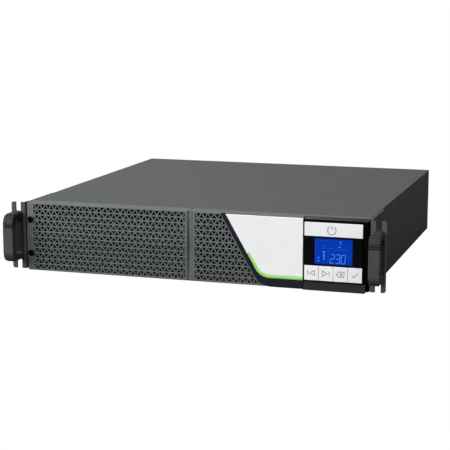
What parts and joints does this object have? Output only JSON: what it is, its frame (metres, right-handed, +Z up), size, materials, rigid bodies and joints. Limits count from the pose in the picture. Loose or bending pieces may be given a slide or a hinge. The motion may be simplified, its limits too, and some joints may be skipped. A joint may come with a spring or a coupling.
{
  "type": "uninterruptible power supply",
  "caption": "Flat rack-mount power supply with pull-handle ears, a triangle-mesh front, a white and green cover, a square display unit with keys, and a battery drawer.",
  "frame": {"origin": "on the ground plane, under the centre of the whole object's box", "axes": "+X to the right seen from the front, along the rack width; -Y out of the front; +Z up"},
  "size_m": [0.4826, 0.489, 0.088],
  "materials": {
    "black_steel": "fine-textured charcoal powder coat",
    "zinc_steel": "zinc-plated sheet",
    "grey_plastic": "fine-grained charcoal moulding",
    "handle_plastic": "satin charcoal moulding",
    "black_plastic": "satin black moulding",
    "gloss_black": "high gloss",
    "white_plastic": "satin gloss",
    "green_plastic": "glossy",
    "window_black": "polished smoked lens",
    "lcd_blue": "backlit blue display",
    "circuit_green": "solder mask",
    "aluminium": "extruded",
    "copper": "enamelled winding",
    "ferrite": "matt",
    "brass": "plain",
    "battery_case": "moulded case"
  },
  "bodies": {
    "chassis": {"base_pan": "black_steel", "top_cover": "black_steel", "front_bulkhead": "black_steel", "divider_wall": "black_steel", "rear_panel": "black_steel", "ear_left": "black_steel", "ear_right": "black_steel", "network_slot_cover": "black_steel", "fan_guard": "zinc_steel", "usb_port": "zinc_steel", "serial_port": "zinc_steel", "front_bezel": "grey_plastic", "handle_left": "handle_plastic", "handle_right": "handle_plastic", "display_frame": "black_plastic", "battery_socket": "black_plastic", "fan_frame": "black_plastic", "ac_inlet": "black_plastic", "outlet_block_left": "black_plastic", "outlet_block_right": "black_plastic", "breaker_body": "black_plastic", "external_battery_connector": "black_plastic", "bulk_capacitor_1": "black_plastic", "bulk_capacitor_2": "black_plastic", "bulk_capacitor_3": "black_plastic", "accent_surround": "gloss_black", "white_cover": "white_plastic", "green_strip": "green_plastic", "main_board": "circuit_green", "control_board": "circuit_green", "inverter_heatsink": "aluminium", "charger_heatsink": "aluminium", "emi_filter": "aluminium", "transformer_winding": "copper", "filter_choke": "copper", "transformer_core": "ferrite", "ground_stud": "brass"},
    "battery_panel": {"battery_panel": "grey_plastic", "panel_screw_upper": "black_steel", "panel_screw_lower": "black_steel"},
    "battery_drawer": {"battery_tray": "black_steel", "battery_block_1": "battery_case", "battery_block_2": "battery_case", "battery_block_3": "battery_case", "battery_block_4": "battery_case", "battery_link_left": "copper", "battery_link_right": "copper", "battery_link_cross": "copper", "battery_plug": "black_plastic"},
    "display_unit": {"display_housing": "black_plastic", "display_window": "window_black", "lcd_panel": "lcd_blue", "display_board": "circuit_green"},
    "power_button": {"power_button": "white_plastic"},
    "key_previous": {"key_previous": "white_plastic"},
    "key_next": {"key_next": "white_plastic"},
    "key_cancel": {"key_cancel": "white_plastic"},
    "key_confirm": {"key_confirm": "white_plastic"},
    "fan_rotor": {"fan_rotor": "black_plastic"},
    "breaker_button": {"breaker_button": "gloss_black"}
  },
  "joints": [
    {"name": "drawer_slide", "type": "slide", "parent": "chassis", "child": "battery_drawer", "axis": [0, -1, 0], "range_m": [0, 0.3]},
    {"name": "panel_pull", "type": "slide", "parent": "chassis", "child": "battery_panel", "axis": [0, -1, 0], "range_m": [0, 0.36]},
    {"name": "display_pull", "type": "slide", "parent": "chassis", "child": "display_unit", "axis": [0, -1, 0], "range_m": [0, 0.012]},
    {"name": "power_button_press", "type": "slide", "parent": "display_unit", "child": "power_button", "axis": [0, 1, 0], "range_m": [0, 0.001], "stiffness_N_per_m": 800},
    {"name": "key_previous_press", "type": "slide", "parent": "display_unit", "child": "key_previous", "axis": [0, 1, 0], "range_m": [0, 0.0008], "stiffness_N_per_m": 600},
    {"name": "key_next_press", "type": "slide", "parent": "display_unit", "child": "key_next", "axis": [0, 1, 0], "range_m": [0, 0.0008], "stiffness_N_per_m": 600},
    {"name": "key_cancel_press", "type": "slide", "parent": "display_unit", "child": "key_cancel", "axis": [0, 1, 0], "range_m": [0, 0.0008], "stiffness_N_per_m": 600},
    {"name": "key_confirm_press", "type": "slide", "parent": "display_unit", "child": "key_confirm", "axis": [0, 1, 0], "range_m": [0, 0.0008], "stiffness_N_per_m": 600},
    {"name": "fan_spin", "type": "hinge", "parent": "chassis", "child": "fan_rotor", "pos_m": [0.104, 0.218, 0.044], "axis": [0, 1, 0], "continuous": true},
    {"name": "breaker_reset", "type": "slide", "parent": "chassis", "child": "breaker_button", "axis": [0, 1, 0], "range_m": [0, 0.004]}
  ],
  "couplings": [
    {"joint": "panel_pull", "follows": "drawer_slide", "ratio": 1.2}
  ]
}
